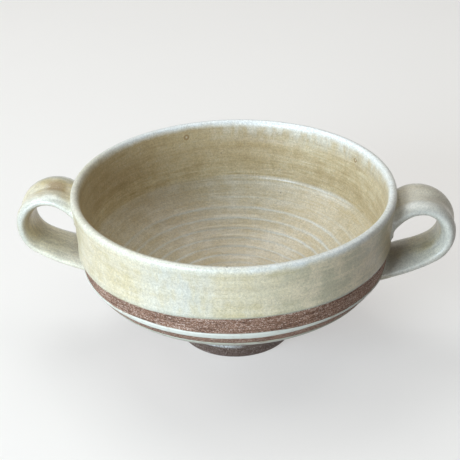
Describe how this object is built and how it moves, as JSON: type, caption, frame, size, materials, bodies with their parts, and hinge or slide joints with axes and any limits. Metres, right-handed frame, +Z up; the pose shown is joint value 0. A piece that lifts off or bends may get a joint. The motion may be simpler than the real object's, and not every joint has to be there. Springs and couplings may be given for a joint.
{
  "type": "lug soup bowl",
  "caption": "Hand-thrown stoneware soup bowl with a looped strap handle on each side, a turned foot, cream glaze inside and over the rim, and striped bare clay below.",
  "frame": {"origin": "centre of the foot, on the surface that the bowl stands on", "axes": "+Z up, +X through the right-hand handle, so that both handles lie along X"},
  "size_m": [0.177, 0.1298, 0.068],
  "materials": {
    "stoneware": "bare toasted clay",
    "handle_clay": "bare clay under glaze",
    "slip": "smooth slip under glaze",
    "cream_glaze": "semi-gloss",
    "white_glaze": "semi-gloss",
    "grey_green_glaze": "semi-gloss"
  },
  "bodies": {
    "root": {"thrown_bowl": "stoneware", "foot_ring": "stoneware", "left_handle": "handle_clay", "right_handle": "handle_clay", "left_upper_slip": "slip", "left_lower_slip": "slip", "right_upper_slip": "slip", "right_lower_slip": "slip", "liner_glaze": "cream_glaze", "outer_glaze": "cream_glaze", "left_handle_glaze": "cream_glaze", "right_handle_glaze": "cream_glaze", "broad_stripe": "white_glaze", "fine_stripe_front": "grey_green_glaze", "fine_stripe_back": "grey_green_glaze"}
  },
  "joints": []
}
